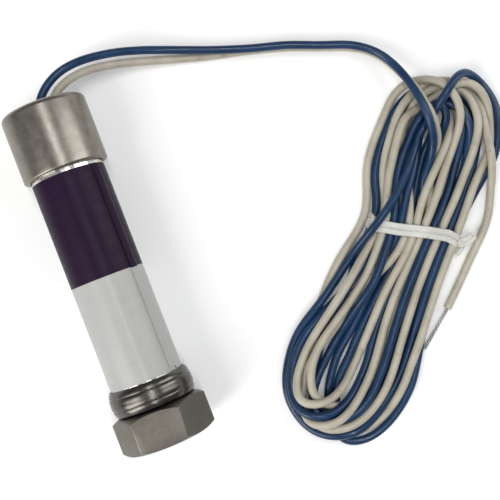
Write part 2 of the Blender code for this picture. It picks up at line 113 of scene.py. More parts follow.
def make_table():
    bpy.ops.mesh.primitive_plane_add(size=6.0, location=(0, 0, 0))
    table = bpy.context.object
    table.name = "table_top"
    paper = bpy.data.materials.new("pale_table")
    paper.use_nodes = True
    shader = paper.node_tree.nodes["Principled BSDF"]
    shader.inputs["Base Color"].default_value = (0.90, 0.90, 0.90, 1)
    shader.inputs["Roughness"].default_value = 0.9
    shader.inputs["Specular IOR Level"].default_value = 0.1
    shader.inputs["Emission Color"].default_value = (1, 1, 1, 1)
    shader.inputs["Emission Strength"].default_value = 0.08
    table.data.materials.append(paper)


make_camera()
make_lights()
make_table()


# ---------------------------------------------------------------- finishes
class Finish:
    """A material whose colour, roughness and relief come from nodes."""

    def __init__(self, name, metallic=0.0, **fixed):
        self.material = bpy.data.materials.new(name)
        self.material.use_nodes = True
        self.tree = self.material.node_tree
        self.shader = self.tree.nodes["Principled BSDF"]
        self.shader.inputs["Metallic"].default_value = metallic
        for socket, value in fixed.items():
            self.shader.inputs[socket.replace("_", " ")].default_value = value
        self.place = self.tree.nodes.new("ShaderNodeTexCoord").outputs["Object"]
        self.relief = None

    def noise(self, stretch, detail=3.0, roughness=0.55, offset=(0, 0, 0)):
        mapping = self.tree.nodes.new("ShaderNodeMapping")
        mapping.inputs["Scale"].default_value = stretch
        mapping.inputs["Location"].default_value = offset
        self.tree.links.new(self.place, mapping.inputs["Vector"])
        node = self.tree.nodes.new("ShaderNodeTexNoise")
        node.inputs["Scale"].default_value = 1.0
        node.inputs["Detail"].default_value = detail
        node.inputs["Roughness"].default_value = roughness
        self.tree.links.new(mapping.outputs["Vector"], node.inputs["Vector"])
        return node.outputs["Fac"]

    def ramp(self, source, stops):
        node = self.tree.nodes.new("ShaderNodeValToRGB")
        marks = node.color_ramp.elements
        while len(marks) < len(stops):
            marks.new(0.5)
        for mark, (place, colour) in zip(marks, stops):
            mark.position = place
            mark.color = (*colour, 1.0) if len(colour) == 3 else colour
        self.tree.links.new(source, node.inputs["Fac"])
        return node.outputs["Color"]

    def blend(self, share, a, b, kind="MIX"):
        node = self.tree.nodes.new("ShaderNodeMix")
        node.data_type = "RGBA"
        node.blend_type = kind
        for socket, value in ((node.inputs[0], share), (node.inputs[6], a), (node.inputs[7], b)):
            if isinstance(value, bpy.types.NodeSocket):
                self.tree.links.new(value, socket)
            else:
                socket.default_value = value
        return node.outputs[2]

    def colour(self, source):
        self.tree.links.new(source, self.shader.inputs["Base Color"])

    def rough(self, source, low, high, start=0.3, stop=0.7):
        node = self.tree.nodes.new("ShaderNodeMapRange")
        node.inputs["From Min"].default_value = start
        node.inputs["From Max"].default_value = stop
        node.inputs["To Min"].default_value = low
        node.inputs["To Max"].default_value = high
        self.tree.links.new(source, node.inputs["Value"])
        self.tree.links.new(node.outputs["Result"], self.shader.inputs["Roughness"])

    def bump(self, source, strength, height):
        node = self.tree.nodes.new("ShaderNodeBump")
        node.inputs["Strength"].default_value = strength
        node.inputs["Distance"].default_value = height
        self.tree.links.new(source, node.inputs["Height"])
        if self.relief:
            self.tree.links.new(self.relief, node.inputs["Normal"])
        self.relief = node.outputs["Normal"]
        self.tree.links.new(self.relief, self.shader.inputs["Normal"])


def grey(value, warmth=0.0):
    return (value * (1 + warmth), value, value * (1 - 1.6 * warmth))


def turned_steel(name, dark, light, rough, lines, depth, warmth=0.03, cloud=60.0):
    """Lathe-turned steel: fine rings round the X axis, faint clouds and handling marks."""
    finish = Finish(name, metallic=1.0)
    rings = finish.noise((lines, 12, 12), detail=4.0, roughness=0.7)
    clouds = finish.noise((cloud, cloud, cloud), detail=4.0)
    marks = finish.noise((260, 300, 300), detail=5.0, roughness=0.7, offset=(3, 1, 2))
    tone = finish.ramp(clouds, [(0.25, grey(dark, warmth)), (0.75, grey(light, warmth))])
    lined = finish.ramp(rings, [(0.3, (0.80, 0.80, 0.80)), (0.7, (1.0, 1.0, 1.0))])
    spots = finish.ramp(marks, [(0.34, (0.90, 0.89, 0.87)), (0.52, (1.0, 1.0, 1.0)),
                                (0.68, (1.08, 1.08, 1.06))])
    finish.colour(finish.blend(1.0, finish.blend(1.0, tone, lined, "MULTIPLY"), spots, "MULTIPLY"))
    finish.rough(finish.blend(0.5, rings, marks), rough[0], rough[1])
    finish.bump(rings, 0.5, depth)
    finish.bump(marks, 0.12, depth)
    return finish.material


def cast_steel(name, dark, light, rough, grain, depth, warmth=0.03):
    """Steel bar with a fine grained, slightly mottled surface."""
    finish = Finish(name, metallic=1.0)
    fine = finish.noise((grain, grain, grain), detail=5.0, roughness=0.65)
    mottle = finish.noise((140, 140, 140), detail=5.0, roughness=0.6, offset=(1, 5, 2))
    scuffs = finish.noise((520, 430, 380), detail=4.0, offset=(4, 2, 7))
    tone = finish.ramp(mottle, [(0.28, grey(dark, warmth)), (0.72, grey(light, warmth))])
    worn = finish.ramp(scuffs, [(0.34, (0.93, 0.92, 0.91)), (0.52, (1, 1, 1)), (0.74, (1.05, 1.05, 1.04))])
    finish.colour(finish.blend(1.0, tone, worn, "MULTIPLY"))
    finish.rough(mottle, rough[0], rough[1])
    finish.bump(fine, 0.55, depth)
    finish.bump(scuffs, 0.15, depth)
    return finish.material


def soft_plastic(name, low, high, rough, grain, depth, **fixed):
    finish = Finish(name, **fixed)
    tone = finish.noise((130, 130, 130), detail=4.0)
    fine = finish.noise((grain, grain, grain), detail=3.0, offset=(2, 2, 2))
    specks = finish.noise((420, 420, 420), detail=2.0, offset=(7, 3, 1))
    body = finish.ramp(tone, [(0.3, low), (0.7, high)])
    dust = finish.ramp(specks, [(0.26, (0.78, 0.77, 0.75)), (0.36, (1, 1, 1))])
    finish.colour(finish.blend(1.0, body, dust, "MULTIPLY"))
    finish.rough(tone, rough[0], rough[1])
    finish.bump(fine, 0.35, depth)
    return finish.material


def printed_film(name, low, high, rough, coat, shine):
    """Thin gloss film with slight waves where it was drawn tight round the tube."""
    finish = Finish(name, Coat_Weight=coat, Coat_Roughness=0.16, Specular_IOR_Level=shine)
    tone = finish.noise((30, 120, 120), detail=4.0)
    waves = finish.noise((45, 150, 150), detail=2.0, offset=(1, 1, 4))
    fibre = finish.noise((1500, 1500, 1500), detail=2.0)
    rubs = finish.noise((600, 60, 60), detail=5.0, offset=(2, 9, 2))
    body = finish.ramp(tone, [(0.3, low), (0.7, high)])
    worn = finish.ramp(rubs, [(0.30, (0.95, 0.95, 0.95)), (0.5, (1, 1, 1))])
    finish.colour(finish.blend(1.0, body, worn, "MULTIPLY"))
    finish.rough(rubs, rough[0], rough[1])
    finish.bump(waves, 0.25, 0.00025)
    finish.bump(fibre, 0.10, 0.00004)
    return finish.material


def clear_finish(name, tint, roughness):
    finish = Finish(name, Transmission_Weight=1.0, IOR=1.46)
    haze = finish.noise((160, 160, 160), detail=3.0)
    finish.colour(finish.ramp(haze, [(0.3, tint), (0.7, (0.97, 0.98, 0.98))]))
    finish.rough(haze, roughness, roughness + 0.05)
    return finish.material


FINISH = {
    "cap_steel": turned_steel("cap_steel", 0.205, 0.265, (0.29, 0.40), 5200, 0.00003, 0.08, 320),
    "tube_steel": turned_steel("tube_steel", 0.60, 0.72, (0.18, 0.30), 4200, 0.00002),
    "collar_steel": turned_steel("collar_steel", 0.085, 0.135, (0.22, 0.34), 3600, 0.00004, 0.06, 260),
    "coupling_steel": cast_steel("coupling_steel", 0.125, 0.155, (0.40, 0.52), 3200, 0.00005, 0.08),
    "ring_steel": turned_steel("ring_steel", 0.12, 0.18, (0.30, 0.45), 2600, 0.00003),
    "nickel": turned_steel("nickel", 0.50, 0.62, (0.22, 0.34), 3000, 0.00002, 0.04),
    "black_rubber": soft_plastic("black_rubber", (0.010, 0.010, 0.010), (0.022, 0.021, 0.020),
                                 (0.55, 0.75), 2200, 0.00006),
    "potting_resin": soft_plastic("potting_resin", (0.020, 0.016, 0.012), (0.050, 0.040, 0.030),
                                  (0.25, 0.45), 700, 0.00012),
    "insulating_board": soft_plastic("insulating_board", (0.40, 0.29, 0.15), (0.56, 0.43, 0.25),
                                     (0.60, 0.80), 1400, 0.00008),
    "moulded_base": soft_plastic("moulded_base", (0.055, 0.035, 0.022), (0.10, 0.07, 0.045),
                                 (0.40, 0.55), 1500, 0.00005),
    "clear_glass": clear_finish("clear_glass", (0.90, 0.94, 0.94), 0.02),
    "quartz": clear_finish("quartz", (0.93, 0.95, 0.97), 0.01),
    "blue_insulation": soft_plastic("blue_insulation", (0.006, 0.025, 0.068), (0.010, 0.038, 0.100),
                                    (0.28, 0.42), 1800, 0.00003, Coat_Weight=0.18, Coat_Roughness=0.12,
                                    Specular_IOR_Level=0.25),
    "white_insulation": soft_plastic("white_insulation", (0.35, 0.32, 0.25), (0.45, 0.42, 0.345),
                                     (0.36, 0.50), 1800, 0.00003),
    "tie_paper": soft_plastic("tie_paper", (0.46, 0.46, 0.42), (0.60, 0.60, 0.56),
                              (0.35, 0.50), 1600, 0.00005),
    "tinned_copper": cast_steel("tinned_copper", 0.38, 0.52, (0.28, 0.42), 2500, 0.00003, 0.02),
    "label_dark": printed_film("label_dark", (0.011, 0.0025, 0.017), (0.016, 0.005, 0.023),
                               (0.36, 0.46), 0.0, 0.12),
    "label_white": printed_film("label_white", (0.375, 0.375, 0.36), (0.41, 0.41, 0.395),
                                (0.40, 0.52), 0.12, 0.4),
}


# ---------------------------------------------------------------- making pieces
def let_go():
    if bpy.context.object and bpy.context.object.mode != "OBJECT":
        bpy.ops.object.mode_set(mode="OBJECT")
    bpy.ops.object.select_all(action="DESELECT")


def take(piece):
    let_go()
    piece.select_set(True)
    bpy.context.view_layer.objects.active = piece


def edit(piece):
    take(piece)
    bpy.ops.object.mode_set(mode="EDIT")


def select_where(piece, kind, test):
    """In edit mode: selects the verts, edges or faces that pass the test, and nothing else."""
    bpy.ops.mesh.select_mode(type=kind)
    bpy.ops.mesh.select_all(action="DESELECT")
    bpy.ops.object.mode_set(mode="OBJECT")
    mesh = piece.data
    items = {"VERT": mesh.vertices, "EDGE": mesh.edges, "FACE": mesh.polygons}[kind]
    for item in items:
        item.select = bool(test(item))
    bpy.ops.object.mode_set(mode="EDIT")


def settle(piece, name, finish, body, replaces=(), smooth=35.0):
    """Applies the place of a finished piece, shades it, and gives it its finish and body."""
    take(piece)
    bpy.ops.object.transform_apply(location=True, rotation=True, scale=True)
    bpy.ops.object.mode_set(mode="EDIT")
    bpy.ops.mesh.select_all(action="SELECT")
    bpy.ops.mesh.normals_make_consistent(inside=False)
    bpy.ops.object.mode_set(mode="OBJECT")
    bpy.ops.object.shade_smooth_by_angle(angle=math.radians(smooth))
    piece.name = name
    piece.data.name = name
    piece.data.materials.clear()
    piece.data.materials.append(FINISH[finish])
    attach(piece, body)
    if replaces:
        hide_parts(*replaces)
    return piece


def apply_modifier(piece, kind, **values):
    take(piece)
    modifier = piece.modifiers.new(kind.lower(), kind)
    for key, value in values.items():
        setattr(modifier, key, value)
    bpy.ops.object.modifier_apply(modifier=modifier.name)


def turn_on_lathe(profile, sides=ROUND, closed=True):
    """Piece turned about the probe's axis from (x, radius) points, each ring extruded from the last."""
    let_go()
    x, radius = profile[0]
    bpy.ops.mesh.primitive_circle_add(vertices=sides, radius=radius, location=(x, 0, AXIS),
                                      rotation=(0, math.pi / 2, 0), fill_type="NOTHING")
    piece = bpy.context.object
    take(piece)
    bpy.ops.object.transform_apply(location=True, rotation=True, scale=True)
    bpy.ops.object.mode_set(mode="EDIT")
    bpy.ops.mesh.select_mode(type="EDGE")
    bpy.ops.mesh.select_all(action="SELECT")
    stops = profile[1:] + ([profile[0]] if closed else [])
    for next_x, next_radius in stops:
        bpy.ops.mesh.extrude_edges_move(TRANSFORM_OT_translate={"value": (next_x - x, 0, 0)})
        if next_radius == 0:
            bpy.ops.mesh.merge(type="CENTER")
        elif abs(next_radius - radius) > 1e-9:
            grow = next_radius / radius
            bpy.ops.transform.resize(value=(1, grow, grow), center_override=(next_x, 0, AXIS))
        x, radius = next_x, next_radius
    bpy.ops.mesh.select_all(action="SELECT")
    bpy.ops.mesh.remove_doubles(threshold=0.000002)
    bpy.ops.mesh.normals_make_consistent(inside=False)
    bpy.ops.object.mode_set(mode="OBJECT")
    return piece


def quarter(x, radius, size, start, stop, count=6):
    """Points of a rounded edge, angles in degrees from the outward direction towards the rear."""
    points = []
    for k in range(count):
        angle = math.radians(start + (stop - start) * k / (count - 1))
        points.append((x - size * math.sin(angle), radius + size * math.cos(angle)))
    return points


def cut_thread(name, rear, front, crest, depth, finish, body):
    """Internal thread: a ridge's outline wound along the bore, its two ends run out into the wall."""
    turns = int((front - rear) / THREAD_PITCH - 1)
    rear += THREAD_PITCH / 2
    start = (rear, 0, AXIS)
    wall = crest + depth
    let_go()
    bpy.ops.mesh.primitive_plane_add(size=1.0, location=start)
    piece = bpy.context.object
    edit(piece)
    bpy.ops.mesh.select_all(action="SELECT")
    bpy.ops.transform.rotate(value=math.pi / 2, orient_axis="X", center_override=start)
    bpy.ops.transform.resize(value=(THREAD_PITCH, 1, depth), center_override=start)
    bpy.ops.transform.translate(value=(0, 0, crest + depth / 2))
    select_where(piece, "VERT", lambda vert: vert.co.z < crest + depth / 2)
    bpy.ops.transform.resize(value=(CREST_SHARE, 1, 1), center_override=(rear, 0, AXIS + crest))
    bpy.ops.mesh.select_all(action="SELECT")
    bpy.ops.mesh.delete(type="ONLY_FACE")
    apply_modifier(piece, "SCREW", axis="X", angle=2 * math.pi, screw_offset=THREAD_PITCH, iterations=turns,
                   steps=THREAD_STEPS, render_steps=THREAD_STEPS, use_merge_vertices=False)
    edit(piece)
    bpy.ops.mesh.select_all(action="SELECT")
    bpy.ops.mesh.fill_holes(sides=4)
    for end in (0, turns):
        middle = end * THREAD_PITCH
        select_where(piece, "VERT", lambda vert: abs(vert.co.x - middle) < 0.51 * THREAD_PITCH
                     and abs(vert.co.y) < 1e-6 and vert.co.z > 0)
        bpy.ops.transform.resize(value=(1, wall / crest, wall / crest), center_override=start,
                                 use_proportional_edit=True, proportional_edit_falloff="SMOOTH",
                                 proportional_size=RUN_OUT, use_proportional_connected=True)
    bpy.ops.object.mode_set(mode="OBJECT")
    return settle(piece, name, finish, body, smooth=25.0)


# ---------------------------------------------------------------- leads
BLUE_IN = [
    (-32.0, -2.6, 14.5), (-40.0, -2.6, 14.5), (-48.0, -2.6, 14.5), (-55.0, -2.4, 14.5),
    (-60.0, -1.0, 14.9), (-64.6, 2.8, 15.1), (-68.2, 9.0, 15.0), (-69.6, 16.0, 13.9),
    (-69.7, 23.0, 11.6), (-68.8, 31.0, 8.8), (-66.7, 39.5, 6.2), (-63.2, 49.5, 4.7),
    (-58.6, 61.5, 4.6), (-54.6, 73.5, 4.6), (-51.4, 85.0, 4.6), (-47.2, 95.7, 4.5),
    (-44.1, 104.5, 4.4), (-41.7, 108.7, 4.5), (-37.3, 113.6, 5.0), (-30.2, 117.3, 6.6),
]
WHITE_IN = [
    (-32.0, 2.6, 14.5), (-40.0, 2.6, 14.5), (-48.0, 2.6, 14.5), (-55.0, 2.6, 14.4),
    (-59.6, 3.4, 13.7), (-63.2, 6.1, 12.6), (-65.9, 12.0, 11.5), (-66.9, 19.0, 9.2),
    (-66.3, 27.0, 6.2), (-64.6, 35.5, 3.6), (-61.7, 46.0, 1.8), (-58.4, 57.6, 1.5),
    (-55.4, 70.2, 1.5), (-51.4, 84.6, 1.5), (-46.9, 96.4, 1.5), (-43.8, 104.7, 1.5),
    (-41.5, 109.0, 1.6), (-37.1, 114.0, 2.1), (-29.6, 117.8, 3.9),
]
TAIL = [
    (17.9, 134.2, 2.3), (21.6, 132.9, 1.7), (26.0, 130.9, 1.5), (30.4, 128.2, 1.5),
    (33.9, 125.0, 1.5), (37.4, 121.3, 1.5), (41.5, 117.0, 1.5), (45.7, 112.8, 1.5),
    (49.8, 108.5, 1.5), (53.7, 104.5, 1.5),
]
TIP = [(53.5, 104.7, 1.5), (54.4, 103.7, 1.5), (57.4, 100.1, 1.3), (60.8, 96.1, 1.0), (64.2, 92.1, 0.7)]

# The hank's own frame, in millimetres: u runs from its waist to its foot, v across it.
WAIST = np.array([23.7, 102.3])
ALONG = np.array([0.748, -0.664]) / math.hypot(0.748, 0.664)
ACROSS = np.array([-ALONG[1], ALONG[0]])
R = WIRE_RADIUS / MM
D = 2.95                           # centre distance of touching strands
LAYER = 2.3
RUN_STATIONS = (-34, -17, 0, 17, 34, 50)

# One row a turn: v of the run to the foot at the stations, the foot's bend as (reach, v, layer),
# v of the run back, the layers of both runs at the waist, and the head's bend or its points.
# The last two numbers say how freely each run gives way to its neighbours.
WHITE_TURNS = [
    ((-4.7, 1.6, 4.7, 4.9, 5.0, 6.0), (68.6, -6.0, 5.5), (-16.4, -13.2, -9.4, -8.4, -14.4, -16.4), (0, 1),
     [(-40.5, -11.2, 0.8), (-44.8, -8.2, 1.4), (-48.7, -5.3, 2.0), (-52.1, -3.3, 2.1), (-54.1, -0.4, 2.0),
      (-53.3, 3.5, 1.8), (-50.7, 7.1, 1.6), (-46.9, 10.2, 1.4), (-43.0, 12.8, 1.2), (-38.4, 15.3, 1.1)],
     (1.0, 0.35)),
    ((16.8, 15.2, 14.5, 14.4, 15.4, 16.3), (73.2, 4.0, 1.5), (-18.4, -15.0, -9.0, -4.3, -11.0, -16.0),
     (1, 0), (-52.3, -2.5, 1.2), (0.35, 1.0)),
    ((9.2, 9.9, 9.2, 9.0, 10.2, 11.0), (74.6, -3.2, 4), (-20.5, -19.8, -19.0, -16.8, -21.1, -20.6),
     (1, 0), (-50.0, -8.5, 2.0), (0.35, 0.35)),
    ((3.8, 3.0, 1.8, 2.2, 3.4, 4.5), (73.6, -8.5, 5.5), (-17.5, -12.0, -5.0, -1.4, -8.0, -13.8),
     (1, 0), (-46.6, -8.0, 0.9), (0.35, 1.0)),
    ((0.0, -0.5, -1.0, -1.6, -1.8, -2.0), (68.7, -15.2, 8), (-20.6, -16.5, -12.4, -10.2, -16.4, -18.0),
     (1, 0),
     [(-40.0, -16.6, 0.8), (-46.0, -12.5, 0.8), (-49.6, -7.0, 0.8), (-51.2, -1.0, 0.8), (-50.0, 4.2, 1.0),
      (-46.4, 8.0, 2.0), (-42.7, 10.7, 2.3), (-36.6, 14.2, 2.2), (-31.4, 17.0, 1.6)],
     (0.35, 0.35)),
]
BLUE_TURNS = [
    ((-4.0, -1.8, 1.6, 0.8, 0.8, 2.4), (72.7, -11.5, 7), (-20.8, -17.0, -11.0, -7.1, -12.8, -16.4),
     (0, 0), (-50.2, -3.5, 1), (0.6, 1.0)),
    ((6.1, 6.6, 5.6, 5.6, 7.0, 7.7), (72.4, -6.0, 5), (-12.2, -9.2, -5.4, -5.6, -11.2, -13.0),
     (1, 1), (-45.2, -7.4, 2.0), (0.35, 0.35)),
    ((-1.3, 3.5, 8.3, 8.3, 8.0, 8.0), (71.4, -4.0, 2), (-14.6, -13.8, -13.4, -13.0, -18.6, -18.6),
     (0, 0), (-49.6, -2.0, 0.3), (1.0, 1.0)),
    ((11.7, 12.7, 12.2, 12.0, 13.3, 14.0), (75.0, -6.0, 3), (-23.3, -20.2, -16.3, -11.8, -8.6, -10.0),
     (1, 4),
     [(-38.0, -10.1, 2.7), (-42.0, -9.7, 2.7), (-46.0, -8.9, 2.8), (-49.8, -7.7, 2.8), (-53.8, -5.9, 2.6),
      (-57.2, -2.3, 2.3), (-57.0, 2.7, 1.7), (-54.8, 7.6, 1.1), (-51.1, 11.6, 0.6), (-46.3, 14.4, 0.2),
      (-40.3, 16.4, 0.0)],
     (0.35, 0.2)),
    ((17.4, 15.2, 13.0, 13.2, 15.8, 17.6), (76.2, 5.0, 0.4), (-9.0, -7.6, -4.6, -3.0, -7.6, -10.4),
     (0, 1), (-46.0, -3.0, 1.8), (0.35, 0.5)),
    ((8.6, 9.7, 9.9, 10.0, 10.6, 11.2), (70.5, 2.9, 1), (-5.4, -4.4, -2.2, -3.0, -3.2, -5.0),
     (0, 0), [(-38.0, -7.0, 0.4)], (1.0, 1.0)),
]
WHITE_LEAD = [(-46.1, -16.8, 7.2), (-41.7, -11.2, 9.0), (-38.9, -8.1, 9.2), (-36.1, -5.5, 8.3),
              (-33.8, -3.6, 6.6), (-31.5, -2.3, 5.0), (-29.1, -1.3, 3.8)]
BLUE_LEAD = [(-45.9, -18.4, 9.6), (-41.2, -13.0, 11.4), (-38.3, -10.0, 11.6), (-35.4, -7.5, 10.8),
             (-33.1, -5.5, 9.2), (-30.6, -4.0, 7.4), (-28.2, -3.0, 5.9), (-25.7, -2.2, 4.7)]
TIE_LEFT, TIE_RIGHT, TIE_TOP = -14.6, 16.4, 6.2


def spot(u, v, z, give):
    x, y = WAIST + ALONG * u + ACROSS * v
    return (x, y, z, give)


def height(layer):
    return R + LAYER * layer


def wind_turns(rows):
    """Points of a strand wound turn after turn, from its first run to the foot."""
    points = []
    before = 2.0
    for k, (down, foot, up, at_waist, head, give) in enumerate(rows):
        reach, middle, top = foot
        first, second = at_waist
        layers = (0.5 * before + 0.5 * first, 0.15 * before + 0.85 * first, first,
                  0.75 * first + 0.25 * top, 0.35 * first + 0.65 * top, 0.1 * first + 0.9 * top)
        for i, (u, v) in enumerate(zip(RUN_STATIONS, down)):
            if k or i:
                points.append(spot(u, v, height(layers[i]), give[0]))
        start = RUN_STATIONS[-1]
        for angle in (28, 56, 90):
            turn = math.radians(angle)
            points.append(spot(start + (reach - start) * math.sin(turn),
                               middle + (down[-1] - middle) * math.cos(turn), height(top), give[0]))
        for angle in (62, 34):
            turn = math.radians(angle)
            points.append(spot(start + (reach - start) * math.sin(turn),
                               middle + (up[0] - 0.8 - middle) * math.cos(turn) ** 0.9,
                               height(top), give[1]))
        after = head[0][2] if isinstance(head, list) else head[2]
        layers = (0.1 * second + 0.9 * top, 0.35 * second + 0.65 * top, 0.75 * second + 0.25 * top,
                  second, 0.85 * second + 0.15 * after, 0.5 * second + 0.5 * after)
        for u, v, layer in zip(reversed(RUN_STATIONS), up, layers):
            points.append(spot(u, v, height(layer), give[1]))
        if isinstance(head, list):
            points += [spot(u, v, height(layer), 0.3) for u, v, layer in head]
            before = head[-1][2]
        else:
            reach, middle, layer = head
            start, target = -36.0, rows[k + 1][0][0]
            for angle, side in ((28, up[-1]), (56, up[-1]), (90, up[-1]), (60, target), (30, target)):
                turn = math.radians(angle)
                points.append(spot(start + (reach - start) * math.sin(turn),
                                   middle + (side - middle) * math.cos(turn), height(layer), 0.5))
            before = layer
    return points


def even_line(points, spacing):
    """Evenly spaced points on a smooth curve through the given ones."""
    knots = np.array(points, float)
    gaps = np.linalg.norm(np.diff(knots[:, :3], axis=0), axis=1)
    dense = []
    for i in range(len(knots) - 1):
        gap = gaps[i]
        leave = knots[i + 1] - knots[i]
        arrive = leave
        if i:
            leave = (knots[i + 1] - knots[i - 1]) / (gap + gaps[i - 1]) * gap
        if i + 2 < len(knots):
            arrive = (knots[i + 2] - knots[i]) / (gap + gaps[i + 1]) * gap
        t = np.linspace(0, 1, 24, endpoint=False)[:, None]
        dense.append((2 * t**3 - 3 * t**2 + 1) * knots[i] + (t**3 - 2 * t**2 + t) * leave
                     + (3 * t**2 - 2 * t**3) * knots[i + 1] + (t**3 - t**2) * arrive)
    dense = np.vstack(dense + [knots[-1:]])
    travel = np.concatenate([[0], np.cumsum(np.linalg.norm(np.diff(dense[:, :3], axis=0), axis=1))])
    wanted = np.linspace(0, travel[-1], max(2, round(travel[-1] / spacing)) + 1)
    return np.stack([np.interp(wanted, travel, dense[:, k]) for k in range(dense.shape[1])], 1)


def bell(width):
    reach = int(3 * width)
    weights = np.exp(-0.5 * (np.arange(-reach, reach + 1) / width) ** 2)
    return weights / weights.sum()


def blur(values, weights):
    """Values smoothed along a strand, with both ends kept where they are."""
    reach = len(weights) // 2
    padded = np.concatenate([2 * values[0] - values[reach:0:-1], values,
                             2 * values[-1] - values[-2:-reach - 2:-1]])
    return np.convolve(padded, weights, "valid")


def settle_strands(white, blue, rounds, spacing):
    """Lets the strands sink on each other until they touch without running into each other.

    Every round adds up small moves: towards the laid-out place, down, out of each other, up from the
    table and into the tie. The moves are smoothed along each strand, so that a strand stays as stiff
    as its wire.
    """
    both = np.vstack([white, blue])
    place, give = both[:, :3].copy(), both[:, 3].copy()
    laid = place.copy()
    split, count = len(white), len(both)
    blue_side = np.arange(count) >= split
    u = (laid[:, :2] - WAIST) @ ALONG
    v = (laid[:, :2] - WAIST) @ ACROSS

    free = np.ones(count)

    def nearest(low, high, point):
        return low + int(np.argmin(np.hypot(*(laid[low:high, :2] - np.array(point[:2])).T)))

    starts = (nearest(0, split // 3, spot(*WHITE_LEAD[-2], 0)),
              nearest(split, split + (count - split) // 3, spot(*BLUE_LEAD[-2], 0)))
    stop = nearest(2 * split // 3, split, TAIL[1])
    free[:starts[0]] = 0
    free[split:starts[1]] = 0
    free[stop:split] = 0
    for k in range(10):
        for index in (starts[0] + k, starts[1] + k, stop - 1 - k):
            free[index] = (k + 0.5) / 10

    sideways, upwards = bell(9.0), bell(8.0)

    def stiff(moves):
        return np.vstack([np.column_stack([blur(part[:, 0], sideways), blur(part[:, 1], sideways),
                                           blur(part[:, 2], upwards)])
                          for part in (moves[:split], moves[split:])])

    at_tie = (np.abs(u) < 3.4) & (free > 0)
    over_tie = at_tie & blue_side & (laid[:, 2] > height(3.0))
    beside_tie = at_tie & (v < TIE_LEFT - 0.4)
    in_tie = at_tie & ~over_tie & ~beside_tie
    mobility = np.stack([give, give, np.ones(count)], 1) * free[:, None]
    speed = np.zeros_like(place)
    for turn in range(rounds):
        if turn % 5 == 0:
            flat = place.astype(np.float32)
            square = (flat * flat).sum(1)
            apart = square[:, None] + square[None, :] - 2 * flat @ flat.T
            first, second = np.nonzero(apart < (D + 1.5) ** 2)
            keep = (first < second) & ~((blue_side[first] == blue_side[second])
                                        & (second - first < int(4 * D / spacing)))
            first, second = first[keep], second[keep]
            over = laid[second, 2] - laid[first, 2]
        late = turn > rounds * 0.7
        moves = np.zeros_like(place)
        moves[:, :2] += 0.04 * (0.25 if late else 1.0) * (laid[:, :2] - place[:, :2])
        moves[:, 2] -= 0.015 if late else 0.03
        gap = place[second] - place[first]
        aside = np.hypot(gap[:, 0], gap[:, 1])
        swapped = (np.sign(over) * gap[:, 2] < 0.3) & (np.abs(over) > 1.0) & (aside < 2.2)
        gap[swapped, 2] = np.sign(over[swapped]) * 0.3
        far = np.linalg.norm(gap, axis=1)
        hit = far < D
        a, b, gap, far = first[hit], second[hit], gap[hit], far[hit]
        push = ((D - far) / np.maximum(far, 1e-6))[:, None] * gap * 0.30
        for axis in range(3):
            moves[:, axis] += np.bincount(b, push[:, axis], count) - np.bincount(a, push[:, axis], count)
        moves[:, 2] += np.maximum(0, R - place[:, 2]) * 0.6
        side = (place[:, :2] - WAIST) @ ACROSS
        wanted = np.clip(side[in_tie], TIE_LEFT + R, TIE_RIGHT - R)
        moves[in_tie, :2] += (wanted - side[in_tie])[:, None] * ACROSS * 0.5
        closing = min(1.0, turn / (rounds * 0.5))
        roof = 30 * (1 - closing) + (TIE_TOP - R) * closing
        moves[in_tie, 2] -= np.maximum(0, place[in_tie, 2] - roof) * 0.5
        moves[in_tie, 2] += np.maximum(0, R + 0.6 - place[in_tie, 2]) * 0.6
        moves[over_tie, 2] += np.maximum(0, TIE_TOP + 0.7 + R - place[over_tie, 2]) * 0.8
        wanted = np.minimum(side[beside_tie], TIE_LEFT - 0.6 - R)
        moves[beside_tie, :2] += (wanted - side[beside_tie])[:, None] * ACROSS * 0.5
        speed = np.clip(speed * 0.8 + stiff(moves) * mobility, -0.5, 0.5)
        place = place + speed
    eased = []
    for part in (place[:split], place[split:]):
        line = np.column_stack([blur(part[:, axis], bell(1.5)) for axis in range(3)])
        line[:, 2] = np.maximum(line[:, 2], R)
        eased.append(line)
    return eased


SPACING = 1.6
white_line = even_line([(*p, 1.0) for p in WHITE_IN] + [spot(*p, 0.3) for p in WHITE_LEAD]
                       + wind_turns(WHITE_TURNS) + [(*p, 1.0) for p in TAIL], SPACING)
blue_line = even_line([(*p, 1.0) for p in BLUE_IN] + [spot(*p, 0.3) for p in BLUE_LEAD]
                      + wind_turns(BLUE_TURNS), SPACING)
white_line, blue_line = settle_strands(white_line, blue_line, 600, SPACING)


def lay_wire(name, line, radius, finish, sides=4):
    """Round wire along a line of points in millimetres."""
    fine = even_line([(*p, 0.0) for p in line], 0.8)[:, :3] * MM
    curve = bpy.data.curves.new(name, "CURVE")
    curve.dimensions = "3D"
    curve.bevel_depth = radius
    curve.bevel_resolution = sides
    curve.use_fill_caps = True
    spline = curve.splines.new("POLY")
    spline.points.add(len(fine) - 1)
    spline.points.foreach_set("co", np.hstack([fine, np.ones((len(fine), 1))]).ravel())
    spline.use_smooth = True
    wire = bpy.data.objects.new(name, curve)
    bpy.context.scene.collection.objects.link(wire)
    curve.materials.append(FINISH[finish])
    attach(wire, "probe")
    return wire, fine


white_wire, white_path = lay_wire("white_lead", white_line, WIRE_RADIUS, "white_insulation")
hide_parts("lead_white", "lead_white_end", "wire_hank")
blue_wire, blue_path = lay_wire("blue_lead", blue_line, WIRE_RADIUS, "blue_insulation")
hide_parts("lead_blue")

blue_end = blue_line[-1] + (blue_line[-1] - blue_line[-4]) / np.linalg.norm(blue_line[-1] - blue_line[-4]) \
    * np.arange(0, 13, 3)[:, None]
blue_end[:, 2] = np.maximum(blue_end[:, 2], 1.0)


